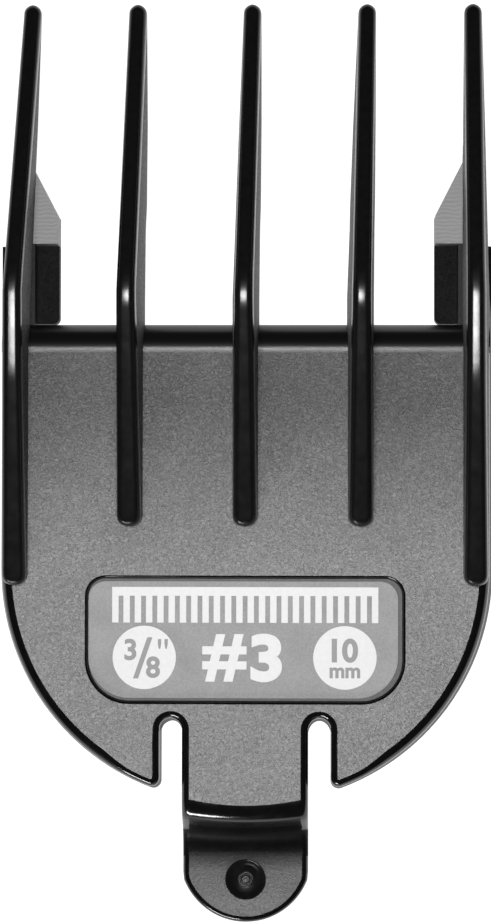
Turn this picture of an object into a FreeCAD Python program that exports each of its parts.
import FreeCAD, Part
import os
import re

import Sketcher

# Guard comb that snaps under a hair clipper's blade, in millimetres.
# The origin is on the blade seat, the flat underside of the plate, at the middle of the comb's length.
# +X runs across the comb, +Y towards the tips of the teeth, and +Z towards the skin side.

doc = FreeCAD.newDocument("guard_comb")
sheet = doc.addObject("Spreadsheet::Sheet", "Size")

DIMENSIONS = {
    # plate, measured on the seat plane
    "plate_width": 47.4,
    "plate_thickness": 2.0,
    "plate_edge_radius": 0.9,
    "wall_draft": 9.4,              # degrees, the outer walls flare towards the blade side
    "shoulder_start": -10.5,        # where the straight side turns into the shoulder
    "shoulder_radius": 22.4,
    "shoulder_tip_radius": 0.8,
    # front bar
    "bar_back": 10.6,
    "bar_front": 13.4,
    "bar_lip": 0.35,                # height of the upright lip under the rounded bevel
    # skirt that holds the blade sideways
    "skirt_depth": 3.0,
    "skirt_wall": 1.6,
    "skirt_toe_in": 1.2,            # how far the skirt's front ends turn in under the teeth
    "stop_inset": 0.45,             # how far the walls stand back ahead of the shelves
    "blade_width": 41.2,
    "blade_side_clearance": 0.1,
    "seat_relief_width": 0.5,       # groove round the blade seat, so that the blade lies flat
    "seat_relief_depth": 0.2,
    # shelves and stops for the blade's front corners
    "blade_corner_thickness": 2.5,
    "shelf_clearance": 0.1,
    "shelf_reach": 2.2,
    "shelf_thickness": 1.6,
    "shelf_front": 21.4,
    "shelf_gap": 0.3,               # from the front bar to the back of the shelf
    "shelf_corner_radius": 0.6,
    "stop_full_end": 24.2,
    "stop_tip": 29.4,
    # teeth
    "cutting_length": 10.0,         # seat to the highest point of a tooth
    "tooth_pitch": 11.17,
    "outer_tooth_lean": 2.8,        # degrees, towards the middle
    "tooth_apex": 16.0,
    "tooth_tip": 44.75,
    "tooth_root_width": 2.55,
    "tooth_tip_width": 1.75,
    "tooth_draft": 2.7,             # degrees on each flank
    "tooth_ridge_radius": 0.6,
    "tooth_tip_height": 1.5,
    "tooth_end_height": 2.4,        # height of the tooth's back end above the plate
    "tooth_crown_radius": 7.0,
    "tooth_toe_drop": 0.8,          # how far a tooth reaches past the seat, ahead of the blade
    "tooth_toe_start": 22.6,
    "tooth_toe_end": 33.0,
    "inner_tooth_back": -6.3,
    "outer_tooth_back": -12.0,
    "outer_crown_length": 10.0,     # stretch of an outer tooth that curves over its highest point
    "outer_crown_centre": 13.2,
    "outer_crown_radius": 21.0,
    "tip_sway": 0.62,               # sideways set of the free tips
    "outer_tip_inset": 0.9,         # how far the outer tips turn towards the middle
    # latch
    "slot_width": 2.17,
    "slot_sill": 0.45,              # the slot ends this much nearer the tail under the plate
    "latch_width": 12.26,
    "slot_end": -24.85,
    "latch_axis_back": 1.55,        # from the slot's end to the flexing line
    "flex_clearance": 0.05,
    "latch_edge_radius": 0.7,
    "step_top": -32.9,
    "step_foot": -37.1,
    "step_drop": 3.8,
    "step_radius": 1.7,
    "pad_end": -45.0,
    "pad_thickness": 1.8,
    "pad_edge_radius": 0.5,
    "pad_bulge": 0.37,              # the pad's round end is this much wider than half the latch
    "hook_depth": 3.1,
    "hook_thickness": 1.5,
    "hook_lip_reach": 0.9,
    "hook_lip_height": 0.9,
    "hook_width": 8.0,
    "gate_centre": -40.8,
    "gate_dimple_radius": 1.95,
    "gate_dimple_depth": 0.55,
    "gate_pip_radius": 0.6,
    "gate_pip_height": 0.45,
    # label
    "recess_width": 30.5,
    "recess_top": -11.3,
    "recess_bottom": -23.2,
    "recess_depth": 0.6,
    "recess_top_radius": 1.7,
    "recess_bottom_radius": 4.0,
    "recess_edge_radius": 0.35,
    "label_slack_across": 0.5,
    "label_slack_along": 0.6,
    "label_thickness": 0.2,
    "label_margin": 0.05,
    "disc_radius": 3.07,
    "disc_offset": 9.72,
    "print_shift": 0.15,            # the print's middle from the label's middle
    "disc_centre": -18.97,
    "print_thickness": 0.04,
}


def fill_sheet():
    for row, (alias, number) in enumerate(DIMENSIONS.items(), start=1):
        sheet.set(f"A{row}", alias)
        sheet.set(f"B{row}", str(number))
        sheet.setAlias(f"B{row}", alias)
    doc.recompute()


def formula(text):
    """Points the dimension names in a formula at the sheet."""
    return re.sub(r"[a-z]+(_[a-z]+)+", lambda found: "Size." + found.group(), str(text))


def value(text):
    """The number that a formula gives now."""
    return float(sheet.evalExpression(formula(text)))


# ---------------------------------------------------------------- sketches

def origin_plane(body, role):
    return next(item for item in body.Origin.OriginFeatures if item.Role == role)


def arc_between(start, end, radius, turn):
    """A circle's arc from start to end that turns left (+1) or right (-1), and whether it is stored reversed."""
    chord = end - start
    half = chord.Length / 2
    rise = max(radius * radius - half * half, 0) ** 0.5
    side = FreeCAD.Vector(-chord.y, chord.x, 0).normalize()
    centre = (start + end) * 0.5 + side * (rise * turn)
    circle = Part.Circle(centre, FreeCAD.Vector(0, 0, 1), radius)
    first, last = (start, end) if turn > 0 else (end, start)
    arc = Part.ArcOfCircle(circle, circle.parameter(first), circle.parameter(last))
    return arc, turn < 0


def closed_sketch(body, name, plane, points, height="0"):
    """A closed outline. Each point is (x, y) or (x, y, radius, turn) where an arc leaves it; all are formulas."""
    sketch = body.newObject("Sketcher::SketchObject", name)
    sketch.AttachmentSupport = (origin_plane(body, plane), [""])
    sketch.MapMode = "FlatFace"
    sketch.setExpression("AttachmentOffset.Base.z", formula(height))
    places = [FreeCAD.Vector(value(point[0]), value(point[1]), 0) for point in points]
    ends = []
    for index, point in enumerate(points):
        start = places[index]
        end = places[(index + 1) % len(points)]
        if len(point) == 4:
            arc, reverse = arc_between(start, end, value(point[2]), point[3])
            edge = sketch.addGeometry(arc, False)
            ends.append((edge, 2, 1) if reverse else (edge, 1, 2))
        else:
            edge = sketch.addGeometry(Part.LineSegment(start, end), False)
            ends.append((edge, 1, 2))
    for index, point in enumerate(points):
        edge, first, _ = ends[index]
        before, _, last = ends[index - 1]
        sketch.addConstraint(Sketcher.Constraint("Coincident", before, last, edge, first))
        for kind, text in (("DistanceX", point[0]), ("DistanceY", point[1])):
            number = sketch.addConstraint(Sketcher.Constraint(kind, -1, 1, edge, first, value(text)))
            sketch.setExpression(f"Constraints[{number}]", formula(text))
        if len(point) == 4:
            number = sketch.addConstraint(Sketcher.Constraint("Radius", edge, value(point[2])))
            sketch.setExpression(f"Constraints[{number}]", formula(point[2]))
    doc.recompute()
    return sketch


def both_sides(right_half):
    """Completes an outline that is symmetrical about the comb's middle line."""
    left_half = []
    for index in range(len(right_half) - 1, -1, -1):
        point = right_half[index]
        mirrored = (f"-({point[0]})", point[1])
        before = right_half[index - 1] if index > 0 else ()
        left_half.append(mirrored + tuple(before[2:]))
    return right_half + left_half


# ---------------------------------------------------------------- features

def new_body(name):
    body = doc.addObject("PartDesign::Body", name)
    body.Label = name
    return body


def pad(body, sketch, length, taper=None, reverse=False, middle=False):
    feature = body.newObject("PartDesign::Pad", sketch.Name + "_pad")
    feature.Profile = sketch
    feature.setExpression("Length", formula(length))
    feature.Reversed = reverse
    feature.Midplane = middle
    if taper is not None:
        feature.setExpression("TaperAngle", formula(taper))
    doc.recompute()
    return feature


def pocket(body, sketch, length=None, reverse=False, middle=False):
    """Cuts to a depth, or through everything where no length is given, and insists that it removes material."""
    before = body.Shape.Volume
    feature = body.newObject("PartDesign::Pocket", sketch.Name + "_pocket")
    feature.Profile = sketch
    feature.Reversed = reverse
    feature.Midplane = middle
    if length is None:
        feature.Type = "ThroughAll"
    else:
        feature.setExpression("Length", formula(length))
    doc.recompute()
    if not body.Shape.Volume < before:
        raise RuntimeError(f"{feature.Name} cut nothing")
    return feature


def fillet(body, radius, wanted):
    """Rounds the edges of the body's last solid for which wanted(edge) is true."""
    base = body.Tip
    names = [f"Edge{number}" for number, edge in enumerate(base.Shape.Edges, start=1) if wanted(edge)]
    if not names:
        raise RuntimeError(f"no edges to round on {body.Name}")
    feature = body.newObject("PartDesign::Fillet", body.Name + "_round")
    feature.Base = (base, names)
    feature.setExpression("Radius", formula(radius))
    doc.recompute()
    return feature


def at_height(edge, height):
    """True for an edge that lies level at that height."""
    box = edge.BoundBox
    return abs(box.ZMin - height) < 1e-4 and abs(box.ZMax - height) < 1e-4


def subtract(name, base, tools):
    """A node made by cutting other nodes' solids away from a blank."""
    shape = base
    for number, tool in enumerate(tools, start=1):
        cut = doc.addObject("Part::Cut", f"{name}_cut{number}" if number < len(tools) else name)
        cut.Base = shape
        cut.Tool = tool
        shape = cut
    shape.Label = name
    doc.recompute()
    return shape


# ---------------------------------------------------------------- shared outlines

SLOT_RADIUS = "slot_width/2"
SLOT_OUTER = "latch_width/2 + slot_width"
SLOT_ROUND = f"slot_end - {SLOT_RADIUS}"
FLEX_LINE = "slot_end - latch_axis_back"
SHOULDER_CENTRE = "plate_width/2 - shoulder_radius"
PAD_TOP = "plate_thickness - step_drop"
PAD_BOTTOM = f"{PAD_TOP} - pad_thickness"
BLADE_HALF = "blade_width/2 + blade_side_clearance"
SHELF_TOP = "-(blade_corner_thickness + shelf_clearance)"
SHELF_BOTTOM = f"{SHELF_TOP} - shelf_thickness"
SKIRT_FRONT = "stop_tip + skirt_wall"
TOOTH_BASE = "-1.5*tooth_toe_drop"


def plate_outline(front):
    """The plate seen from the skin side, from a list of front corners, cut in two shoulders by the slots."""
    tip = f"shoulder_start - sqrt(shoulder_radius^2 - ({SLOT_OUTER} - ({SHOULDER_CENTRE}))^2)"
    return both_sides(front + [
        ("plate_width/2", "shoulder_start", "shoulder_radius", -1),
        (SLOT_OUTER, tip),
        (SLOT_OUTER, SLOT_ROUND, f"1.001*{SLOT_RADIUS}", 1),
        ("latch_width/2", SLOT_ROUND),
        ("latch_width/2", FLEX_LINE),
    ])


def rounded_panel(width, top, bottom, top_radius, bottom_radius):
    """A panel with two small corners in front and two large ones behind."""
    return both_sides([
        (f"{width}/2 - {top_radius}", top, top_radius, -1),
        (f"{width}/2", f"{top} - {top_radius}"),
        (f"{width}/2", f"{bottom} + {bottom_radius}", bottom_radius, -1),
        (f"{width}/2 - {bottom_radius}", bottom),
    ])


def circle_points(x, y, radius):
    """A circle as two half arcs."""
    return [(f"{x} - {radius}", y, f"1.0001*{radius}", 1), (f"{x} + {radius}", y, f"1.0001*{radius}", 1)]


# ---------------------------------------------------------------- plate, bar and skirts

def make_base_plate():
    """The flat plate, with the recess for the label and the socket that the latch flexes in."""
    body = new_body("base_plate")
    outline = closed_sketch(body, "plate_outline", "XY_Plane", plate_outline([("plate_width/2", "bar_back")]))
    pad(body, outline, "plate_thickness")
    tip_x = value(SLOT_OUTER)

    def shoulder_tip(edge):
        box = edge.BoundBox
        upright = box.ZLength > 0.9 * value("plate_thickness")
        return upright and abs(abs(box.Center.x) - tip_x) < 1e-3 and box.Center.y < value(SLOT_ROUND) - 1

    fillet(body, "shoulder_tip_radius", shoulder_tip)
    top = value("plate_thickness")
    square_ends = (value("bar_back"), value(FLEX_LINE))

    def rim(edge):
        box = edge.BoundBox
        square = any(abs(box.YMin - end) < 1e-3 and abs(box.YMax - end) < 1e-3 for end in square_ends)
        root = abs(box.YMin - square_ends[1]) < 1e-3 and box.YLength < 1
        return at_height(edge, top) and not square and not root

    fillet(body, "plate_edge_radius", rim)
    recess = closed_sketch(body, "label_recess", "XY_Plane", rounded_panel(
        "recess_width", "recess_top", "recess_bottom", "recess_top_radius", "recess_bottom_radius",
    ), "plate_thickness")
    pocket(body, recess, "recess_depth")
    recess_half = value("recess_width/2") + 1e-3

    def recess_rim(edge):
        box = edge.BoundBox
        inside = abs(box.Center.x) < recess_half and value("recess_bottom") - 0.01 < box.Center.y
        return at_height(edge, top) and inside and box.Center.y < value("recess_top") + 0.01

    fillet(body, "recess_edge_radius", recess_rim)
    socket = closed_sketch(body, "latch_socket", "YZ_Plane", circle_points(
        f"({FLEX_LINE})", "plate_thickness/2", "(plate_thickness/2 + flex_clearance)"))
    pocket(body, socket, "latch_width + 1", middle=True)
    relief = closed_sketch(body, "seat_relief", "XY_Plane", both_sides([
        (f"{BLADE_HALF} - seat_relief_width", "shoulder_start + seat_relief_width"),
        (f"{BLADE_HALF} - seat_relief_width", "bar_back"),
        (BLADE_HALF, "bar_back"),
        (BLADE_HALF, "shoulder_start"),
    ]))
    pocket(body, relief, "seat_relief_depth", reverse=True)
    return body


def make_front_bar():
    """The bevelled beam that joins the teeth at the plate's front edge."""
    body = new_body("front_bar")
    section = closed_sketch(body, "bar_section", "YZ_Plane", [
        ("bar_back", "0"),
        ("bar_front", "0"),
        ("bar_front", "bar_lip", "0.9*(bar_front - bar_back)", 1),
        ("bar_back", "plate_thickness"),
    ])
    pad(body, section, "plate_width", middle=True)
    return body


def make_skirt_blank():
    """The whole wall that hangs under the plate and flares towards the blade side."""
    body = new_body("skirt_blank")
    outline = closed_sketch(body, "skirt_outline", "XY_Plane", plate_outline([
        ("plate_width/2 - skirt_toe_in", SKIRT_FRONT),
        ("plate_width/2", "bar_front"),
    ]))
    pad(body, outline, "skirt_depth", taper="wall_draft", reverse=True)
    straight = closed_sketch(body, "slot_walls", "XY_Plane", both_sides([
        ("latch_width/2", f"{SLOT_ROUND} - slot_sill", f"1.001*{SLOT_RADIUS}", -1),
        (SLOT_OUTER, f"{SLOT_ROUND} - slot_sill"),
        (SLOT_OUTER, "pad_end"),
    ]))
    pocket(body, straight, "2*skirt_depth")
    tip_x, slot_bottom = value(SLOT_OUTER), value(f"{SLOT_ROUND} - skirt_wall")

    def shoulder_tip(edge):
        box = edge.BoundBox
        upright = box.ZLength > 0.9 * value("skirt_depth")
        return upright and abs(abs(box.Center.x) - tip_x) < 1e-3 and box.Center.y < slot_bottom

    fillet(body, "shoulder_tip_radius", shoulder_tip)
    bend = f"{BLADE_HALF} - ({SHOULDER_CENTRE})"
    slot_side = f"{SLOT_OUTER} + skirt_wall"
    hollow = closed_sketch(body, "skirt_hollow", "XY_Plane", both_sides([
        (f"{BLADE_HALF} + stop_inset", f"{SKIRT_FRONT} + 2*skirt_depth"),
        (f"{BLADE_HALF} + stop_inset", "shelf_front"),
        (BLADE_HALF, "shelf_front"),
        (BLADE_HALF, "shoulder_start", bend, -1),
        (slot_side, f"shoulder_start - sqrt(({bend})^2 - ({slot_side} - ({SHOULDER_CENTRE}))^2)"),
        (slot_side, SLOT_ROUND, f"1.001*({SLOT_RADIUS} + skirt_wall)", 1),
        ("latch_width/2 - skirt_wall", SLOT_ROUND),
        ("latch_width/2 - skirt_wall", f"{FLEX_LINE} - skirt_depth"),
    ]))
    pocket(body, hollow, "2*skirt_depth", reverse=False)
    rise = closed_sketch(body, "skirt_rise", "YZ_Plane", [
        ("stop_full_end", "-skirt_depth"),
        (f"{SKIRT_FRONT} + skirt_wall", "-skirt_depth"),
        (f"{SKIRT_FRONT} + skirt_wall", "0"),
        (SKIRT_FRONT, "0"),
    ])
    pocket(body, rise, "2*plate_width", middle=True)
    return body


def box_for(name, left, back, bottom, width, length, height):
    box = doc.addObject("Part::Box", name)
    for prop, text in (("Length", width), ("Width", length), ("Height", height)):
        box.setExpression(prop, formula(text))
    for axis, text in (("x", left), ("y", back), ("z", bottom)):
        box.setExpression(f"Placement.Base.{axis}", formula(text))
    return box


def make_skirts(blank):
    """The skirt as four walls: a straight one and a shoulder on each side."""
    skirts = {}
    for side, sign in (("left", -1), ("right", 1)):
        left = "-plate_width" if sign < 0 else "0"
        stretches = {
            f"side_skirt_{side}": ("shoulder_start", f"{SKIRT_FRONT} - shoulder_start + skirt_wall"),
            f"shoulder_skirt_{side}": ("2*pad_end", "shoulder_start - 2*pad_end"),
        }
        for name, (back, length) in stretches.items():
            space = box_for(name + "_space", left, back, "-2*skirt_depth", "plate_width", length, "4*skirt_depth")
            wall = doc.addObject("Part::Common", name)
            wall.Base = blank
            wall.Tool = space
            wall.Label = name
            skirts[name] = wall
    doc.recompute()
    return skirts


# ---------------------------------------------------------------- shelves and stops

def make_blade_shelf(side, sign):
    """The ledge that a front corner of the blade slides onto, hooked under the skirt."""
    body = new_body(f"blade_shelf_{side}")
    inner = f"{sign}*({BLADE_HALF} - shelf_reach)"
    wall = f"{sign}*({BLADE_HALF})"
    outer = f"{sign}*(plate_width/2 + skirt_depth*tan(wall_draft))"
    section = closed_sketch(body, f"shelf_section_{side}", "XZ_Plane", [
        (inner, SHELF_TOP),
        (wall, SHELF_TOP),
        (wall, "-skirt_depth"),
        (outer, "-skirt_depth"),
        (outer, SHELF_BOTTOM),
        (inner, SHELF_BOTTOM),
    ], "-shelf_front")
    pad(body, section, "shelf_front - bar_front - shelf_gap", reverse=False)
    inner_x = value(inner)

    def inner_corner(edge):
        box = edge.BoundBox
        upright = box.ZLength > 0.9 * value("shelf_thickness")
        return upright and abs(box.Center.x - inner_x) < 1e-3 and box.Center.y < value("shelf_front") - 1

    fillet(body, "shelf_corner_radius", inner_corner)
    return body


def make_blade_stop(side, sign):
    """The wedge ahead of the shelf, which stops the blade's front edge and guides it in."""
    body = new_body(f"blade_stop_{side}")
    inner = f"{sign}*({BLADE_HALF} - shelf_reach)"
    wall = f"{sign}*({BLADE_HALF} + stop_inset)"
    plan = closed_sketch(body, f"stop_plan_{side}", "XY_Plane", [
        (inner, "shelf_front"),
        (wall, "shelf_front"),
        (wall, "stop_tip"),
        (inner, "stop_full_end"),
    ], SHELF_BOTTOM)
    pad(body, plan, f"-({SHELF_BOTTOM})")
    ramp = closed_sketch(body, f"stop_ramp_{side}", "YZ_Plane", [
        ("stop_full_end", f"{SHELF_BOTTOM} - skirt_wall"),
        (f"{SKIRT_FRONT} + skirt_wall", f"{SHELF_BOTTOM} - skirt_wall"),
        (f"{SKIRT_FRONT} + skirt_wall", "0"),
        (SKIRT_FRONT, "0"),
        ("stop_full_end", "-skirt_depth"),
    ])
    pocket(body, ramp, "2*plate_width", middle=True)
    return body


# ---------------------------------------------------------------- teeth

def tooth_sheets(back, crown_centre, crown_half, crown_radius):
    """The regions above and below a tooth's side outline, as two closed outlines in Y and Z."""
    far_back = f"{back} - 2*tooth_root_width"
    far_front = "tooth_tip + 2*tooth_root_width"
    sky = "2*cutting_length"
    crown_edge = f"cutting_length - ({crown_radius}) + sqrt(({crown_radius})^2 - ({crown_half})^2)"
    end_top = "plate_thickness + tooth_end_height"
    above = [
        (far_back, sky),
        (far_back, end_top),
        (back, end_top),
        (f"{crown_centre} - ({crown_half})", crown_edge, crown_radius, -1),
        (f"{crown_centre} + {crown_half}", crown_edge),
        ("tooth_tip", "tooth_tip_height + tooth_ridge_radius"),
        (far_front, "tooth_tip_height"),
        (far_front, sky),
    ]
    ground = f"{TOOTH_BASE} - tooth_root_width"
    below = [
        (far_back, ground),
        (far_back, "0"),
        ("tooth_toe_start", "0"),
        ("tooth_toe_start + tooth_root_width", "-tooth_toe_drop"),
        ("tooth_toe_end", "-tooth_toe_drop"),
        ("tooth_tip", "tooth_tip_height - tooth_ridge_radius"),
        (far_front, "tooth_tip_height - tooth_ridge_radius"),
        (far_front, ground),
    ]
    return above, below


def make_tooth_blank(number, tip_shift, back, crown_centre, crown_half, crown_radius):
    """One tooth: a drafted rib with round ends, trimmed to its side outline, with a rounded ridge."""
    body = new_body(f"tooth_blank_{number}")
    flare = f"2*1.5*tooth_toe_drop*tan(tooth_draft)"
    root = f"(tooth_root_width + {flare})/2"
    tip = f"(tooth_tip_width + {flare})/2"
    plan = closed_sketch(body, f"tooth_plan_{number}", "XY_Plane", [
        (f"-{root}", f"{back} + {root}", f"1.002*{root}", 1),
        (root, f"{back} + {root}"),
        (root, "tooth_apex"),
        (f"{tip_shift} + {tip}", f"tooth_tip - {tip}", f"1.002*{tip}", 1),
        (f"{tip_shift} - {tip}", f"tooth_tip - {tip}"),
        (f"-{root}", "tooth_apex"),
    ], TOOTH_BASE)
    pad(body, plan, f"cutting_length + tooth_root_width - ({TOOTH_BASE})", taper="-tooth_draft")
    above, below = tooth_sheets(back, crown_centre, crown_half, crown_radius)
    for name, region in (("above", above), ("below", below)):
        sketch = closed_sketch(body, f"tooth_{name}_{number}", "YZ_Plane", region)
        pocket(body, sketch, "8*tooth_root_width", middle=True)

    shape = body.Tip.Shape
    tops = [face for face in shape.Faces if faces_up(face)]
    inner = [edge.hashCode() for face in tops for edge in face.Edges]

    def ridge(edge):
        return inner.count(edge.hashCode()) == 1

    top_width = f"(2*{root} - 2*(cutting_length - ({TOOTH_BASE}))*tan(tooth_draft))"
    fillet(body, f"min(tooth_ridge_radius; 0.4*{top_width})", ridge)
    return body


def faces_up(face):
    first, last, low, high = face.ParameterRange
    normal = face.normalAt((first + last) / 2, (low + high) / 2)
    return normal.z > 0.5


def make_teeth(plate, bar):
    """Five teeth, cut to sit on the plate and the bar; the outer ones end at the seat, on skirts and stops."""
    teeth = []
    above_seat = box_for("above_seat", "-plate_width", "2*pad_end", "0", "2*plate_width", "4*tooth_tip",
                         "2*cutting_length")
    fall, run = "(cutting_length - plate_thickness - tooth_end_height)", "(tooth_apex - inner_tooth_back)"
    crown_half = f"tooth_crown_radius*{fall}/sqrt({fall}^2 + {run}^2)"
    inner = ("inner_tooth_back", "tooth_apex", crown_half, "tooth_crown_radius")
    outer = ("outer_tooth_back", "outer_crown_centre", "outer_crown_length/2", "outer_crown_radius")
    for number in range(1, 6):
        place = number - 3
        side = abs(place) == 2
        sign = 1 if place > 0 else -1
        if side:
            blank = make_tooth_blank(number, f"tip_sway - {sign}*outer_tip_inset", *outer)
            offset = f"{sign}*(plate_width/2 - tooth_root_width/2)"
            blank.Placement.Rotation = FreeCAD.Rotation(FreeCAD.Vector(0, 1, 0), 1)
            blank.setExpression("Placement.Rotation.Angle", formula(f"{-sign}*outer_tooth_lean"))
        else:
            blank = make_tooth_blank(number, "tip_sway", *inner)
            offset = f"{place}*tooth_pitch"
        blank.setExpression("Placement.Base.x", formula(offset))
        if side:
            trimmed = doc.addObject("Part::Common", f"tooth_{number}_trimmed")
            trimmed.Base = blank
            trimmed.Tool = above_seat
            blank = trimmed
        teeth.append(subtract(f"tooth_{number}", blank, [plate, bar]))
    return teeth


# ---------------------------------------------------------------- latch

def make_latch_arm():
    """The springy tongue between the slots; its round root turns in the plate's socket."""
    body = new_body("latch_arm")
    section = closed_sketch(body, "arm_section", "YZ_Plane", [
        (FLEX_LINE, "0", "1.0001*plate_thickness/2", 1),
        (FLEX_LINE, "plate_thickness"),
        ("step_top", "plate_thickness"),
        ("step_top", "0"),
    ])
    pad(body, section, "latch_width", middle=True)
    top = value("plate_thickness")

    def long_edge(edge):
        return at_height(edge, top) and edge.BoundBox.YLength > edge.BoundBox.XLength

    fillet(body, "latch_edge_radius", long_edge)
    return body


def make_latch_step():
    """The riser that drops from the tongue to the thumb pad."""
    body = new_body("latch_step")
    section = closed_sketch(body, "step_section", "YZ_Plane", [
        ("step_top", "0"),
        ("step_top", "plate_thickness", "step_radius", 1),
        ("step_top - step_radius", "plate_thickness - step_radius"),
        ("step_foot + step_radius/2", f"{PAD_TOP} + step_radius/2", "step_radius/2", -1),
        ("step_foot", PAD_TOP),
        ("step_foot", PAD_BOTTOM),
    ])
    pad(body, section, "latch_width", middle=True)
    return body


def make_latch_hook():
    """The catch under the latch that snaps behind the blade's heel."""
    body = new_body("latch_hook")
    lip_top = "-(hook_depth - hook_lip_height)"
    section = closed_sketch(body, "hook_section", "YZ_Plane", [
        ("step_top", "0"),
        ("step_top + hook_thickness", "0"),
        ("step_top + hook_thickness", lip_top),
        ("step_top + hook_thickness + hook_lip_reach", f"{lip_top} - hook_lip_height/3"),
        ("step_top + hook_thickness", "-hook_depth"),
        ("step_top", "-hook_depth"),
    ])
    pad(body, section, "hook_width", middle=True)
    return body


def make_thumb_pad():
    """The round-ended pad that lifts the latch, with the shallow dimple around the moulding gate."""
    body = new_body("thumb_pad")
    pad_round = "(latch_width/2 + pad_bulge)"
    shoulder = f"pad_end + {pad_round} - sqrt({pad_round}^2 - (latch_width/2)^2)"
    plan = closed_sketch(body, "pad_plan", "XY_Plane", [
        ("latch_width/2", "step_foot"),
        ("latch_width/2", shoulder, pad_round, -1),
        ("-latch_width/2", shoulder),
        ("-latch_width/2", "step_foot"),
    ], PAD_BOTTOM)
    pad(body, plan, "pad_thickness")
    dimple = closed_sketch(body, "gate_dimple", "XY_Plane",
                           circle_points("0", "gate_centre", "gate_dimple_radius"), PAD_TOP)
    pocket(body, dimple, "gate_dimple_depth")
    level = value(PAD_TOP)
    foot = value("step_foot")

    def rim(edge):
        box = edge.BoundBox
        in_dimple = abs(box.Center.y - value("gate_centre")) < 1.5 and box.XLength < 4
        return at_height(edge, level) and abs(box.Center.y - foot) > 1e-3 and not in_dimple

    fillet(body, "pad_edge_radius", rim)
    return body


def make_gate_pip():
    """The stub that the mould's gate leaves in the middle of the dimple."""
    pip = doc.addObject("Part::Cylinder", "gate_pip")
    pip.Label = "gate_pip"
    pip.setExpression("Radius", formula("gate_pip_radius"))
    pip.setExpression("Height", formula("gate_pip_height"))
    pip.setExpression("Placement.Base.y", formula("gate_centre"))
    pip.setExpression("Placement.Base.z", formula(f"{PAD_TOP} - gate_dimple_depth"))
    return pip


# ---------------------------------------------------------------- label

LABEL_WIDTH = "recess_width - label_slack_across"
LABEL_HEIGHT = "recess_top - recess_bottom - label_slack_along"
LABEL_SHIFT = f"({LABEL_WIDTH})/2 + label_margin - recess_width/2"
LABEL_FLOOR = "plate_thickness - recess_depth"


def make_label():
    """The size label, stuck to the recess floor against its left wall."""
    body = new_body("label")
    top = f"(recess_top + recess_bottom + {LABEL_HEIGHT})/2"
    bottom = f"(recess_top + recess_bottom - ({LABEL_HEIGHT}))/2"
    plan = closed_sketch(body, "label_plan", "XY_Plane", rounded_panel(
        f"({LABEL_WIDTH})", top, bottom, "recess_top_radius", "recess_bottom_radius"), LABEL_FLOOR)
    pad(body, plan, "label_thickness")
    body.setExpression("Placement.Base.x", formula(LABEL_SHIFT))
    return body


def make_disc(name, sign):
    """A printed disc that carries one of the two size marks."""
    disc = doc.addObject("Part::Cylinder", name)
    disc.Label = name
    disc.setExpression("Radius", formula("disc_radius"))
    disc.setExpression("Height", formula("print_thickness"))
    disc.setExpression("Placement.Base.x", formula(f"{LABEL_SHIFT} + print_shift + {sign}*disc_offset"))
    disc.setExpression("Placement.Base.y", formula("disc_centre"))
    disc.setExpression("Placement.Base.z", formula(f"{LABEL_FLOOR} + label_thickness"))
    return disc


# ---------------------------------------------------------------- assembly and export

def build():
    fill_sheet()
    plate = make_base_plate()
    bar = make_front_bar()
    skirts = make_skirts(make_skirt_blank())
    shelves = {side: make_blade_shelf(side, sign) for side, sign in (("left", -1), ("right", 1))}
    stops = {side: make_blade_stop(side, sign) for side, sign in (("left", -1), ("right", 1))}
    nodes = [plate, bar, *skirts.values(), *shelves.values(), *stops.values()]
    nodes.extend(make_teeth(plate, bar))
    nodes.extend([make_latch_arm(), make_latch_step(), make_latch_hook(), make_thumb_pad(), make_gate_pip()])
    nodes.extend([make_label(), make_disc("label_disc_inch", -1), make_disc("label_disc_metric", 1)])
    doc.recompute()
    return nodes


def check(nodes):
    """Refuses a failed object, or a sub-part whose solid is missing, broken or in several pieces."""
    failed = [item.Name for item in doc.Objects if {"Invalid", "Error"} & set(item.State)]
    for node in nodes:
        shape = node.Shape
        if shape.isNull() or not shape.isValid() or len(shape.Solids) != 1:
            failed.append(f"{node.Label} ({len(shape.Solids)} solids)")
    if failed:
        raise RuntimeError("failed: " + ", ".join(failed))


def export(nodes):
    os.makedirs("parts", exist_ok=True)
    for node in nodes:
        node.Shape.exportStep(f"parts/{node.Label}.step")
        print(f"{node.Label}: {node.Shape.Volume:.2f} mm3")


parts = build()
check(parts)
export(parts)
